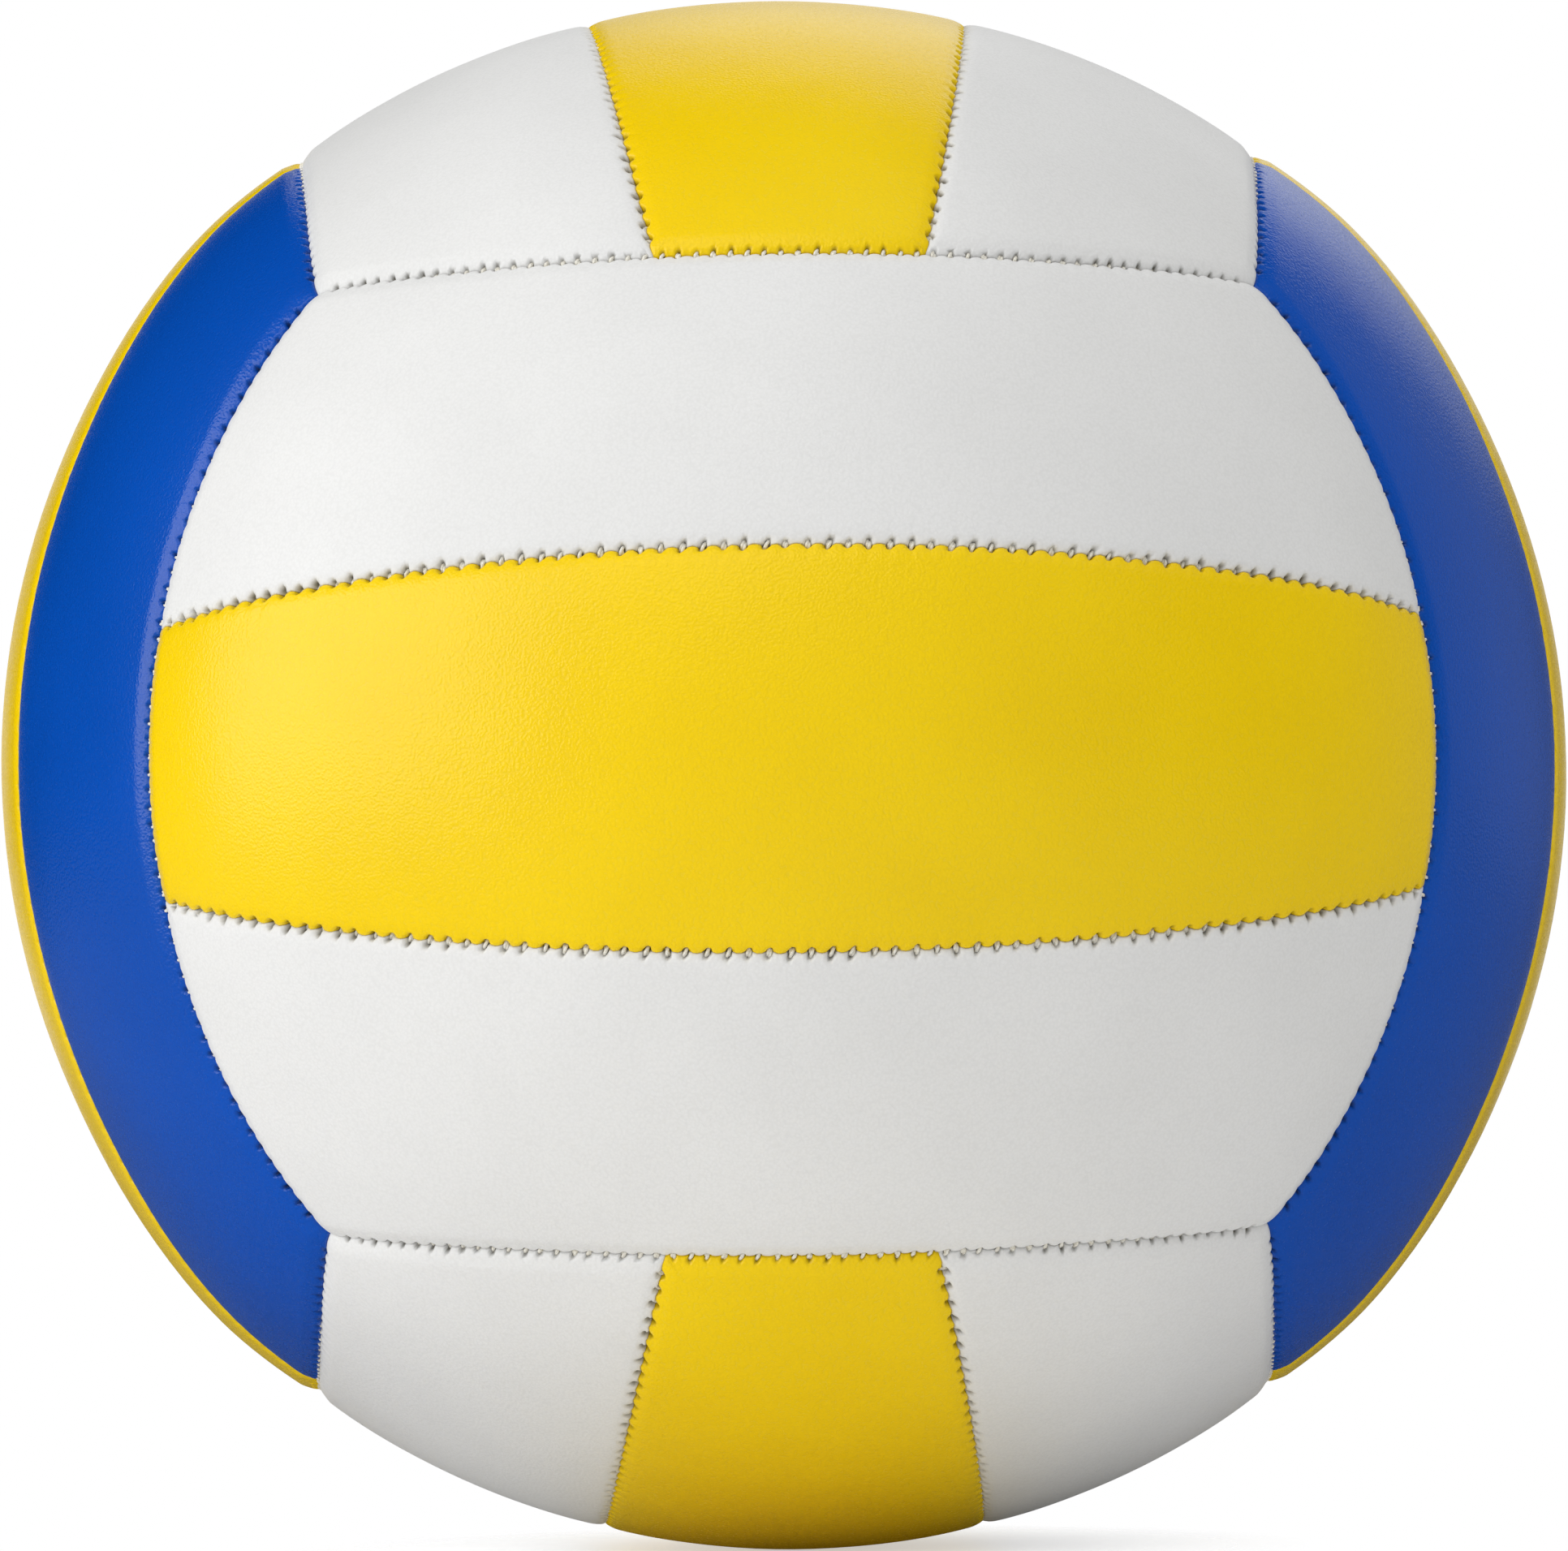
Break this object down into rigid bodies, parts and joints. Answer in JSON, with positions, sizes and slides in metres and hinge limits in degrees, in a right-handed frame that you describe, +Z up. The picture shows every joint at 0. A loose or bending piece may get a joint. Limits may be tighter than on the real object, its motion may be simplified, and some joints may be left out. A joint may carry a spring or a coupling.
{
  "type": "volleyball",
  "caption": "Indoor volleyball with stitched white, yellow and blue strip panels padded with foam over an air bladder with a rubber inflation valve.",
  "frame": {"origin": "centre of the ball", "axes": "+Z up, the front face of horizontal strips looks along -Y, and +Y runs out of the valve in the middle of the back face"},
  "size_m": [0.21, 0.2099, 0.21],
  "materials": {
    "white_cover": "satin pebble grain",
    "yellow_cover": "satin pebble grain",
    "blue_cover": "satin pebble grain",
    "foam": "matt cellular foam",
    "lining": "matt woven cloth",
    "thread": "waxed twisted thread",
    "bladder": "matt butyl rubber",
    "valve_housing": "moulded rubber",
    "valve_plug": "moulded soft rubber"
  },
  "bodies": {
    "ball": {"front_upper_cover": "white_cover", "front_middle_cover": "yellow_cover", "front_lower_cover": "white_cover", "back_upper_cover": "white_cover", "back_middle_cover": "yellow_cover", "back_lower_cover": "white_cover", "left_front_cover": "blue_cover", "left_middle_cover": "yellow_cover", "left_back_cover": "blue_cover", "right_front_cover": "blue_cover", "right_middle_cover": "yellow_cover", "right_back_cover": "blue_cover", "top_left_cover": "white_cover", "top_middle_cover": "yellow_cover", "top_right_cover": "white_cover", "bottom_left_cover": "white_cover", "bottom_middle_cover": "yellow_cover", "bottom_right_cover": "white_cover", "front_upper_foam": "foam", "front_upper_lining": "lining", "front_middle_foam": "foam", "front_middle_lining": "lining", "front_lower_foam": "foam", "front_lower_lining": "lining", "back_upper_foam": "foam", "back_upper_lining": "lining", "back_middle_foam": "foam", "back_middle_lining": "lining", "back_lower_foam": "foam", "back_lower_lining": "lining", "left_front_foam": "foam", "left_front_lining": "lining", "left_middle_foam": "foam", "left_middle_lining": "lining", "left_back_foam": "foam", "left_back_lining": "lining", "right_front_foam": "foam", "right_front_lining": "lining", "right_middle_foam": "foam", "right_middle_lining": "lining", "right_back_foam": "foam", "right_back_lining": "lining", "top_left_foam": "foam", "top_left_lining": "lining", "top_middle_foam": "foam", "top_middle_lining": "lining", "top_right_foam": "foam", "top_right_lining": "lining", "bottom_left_foam": "foam", "bottom_left_lining": "lining", "bottom_middle_foam": "foam", "bottom_middle_lining": "lining", "bottom_right_foam": "foam", "bottom_right_lining": "lining", "strip_seam_thread": "thread", "end_seam_thread": "thread", "bladder": "bladder", "valve_housing": "valve_housing"},
    "valve_plug": {"valve_plug": "valve_plug"}
  },
  "joints": [
    {"name": "plug_pull", "type": "slide", "parent": "ball", "child": "valve_plug", "axis": [0, 1, 0], "range_m": [0, 0.02]}
  ]
}
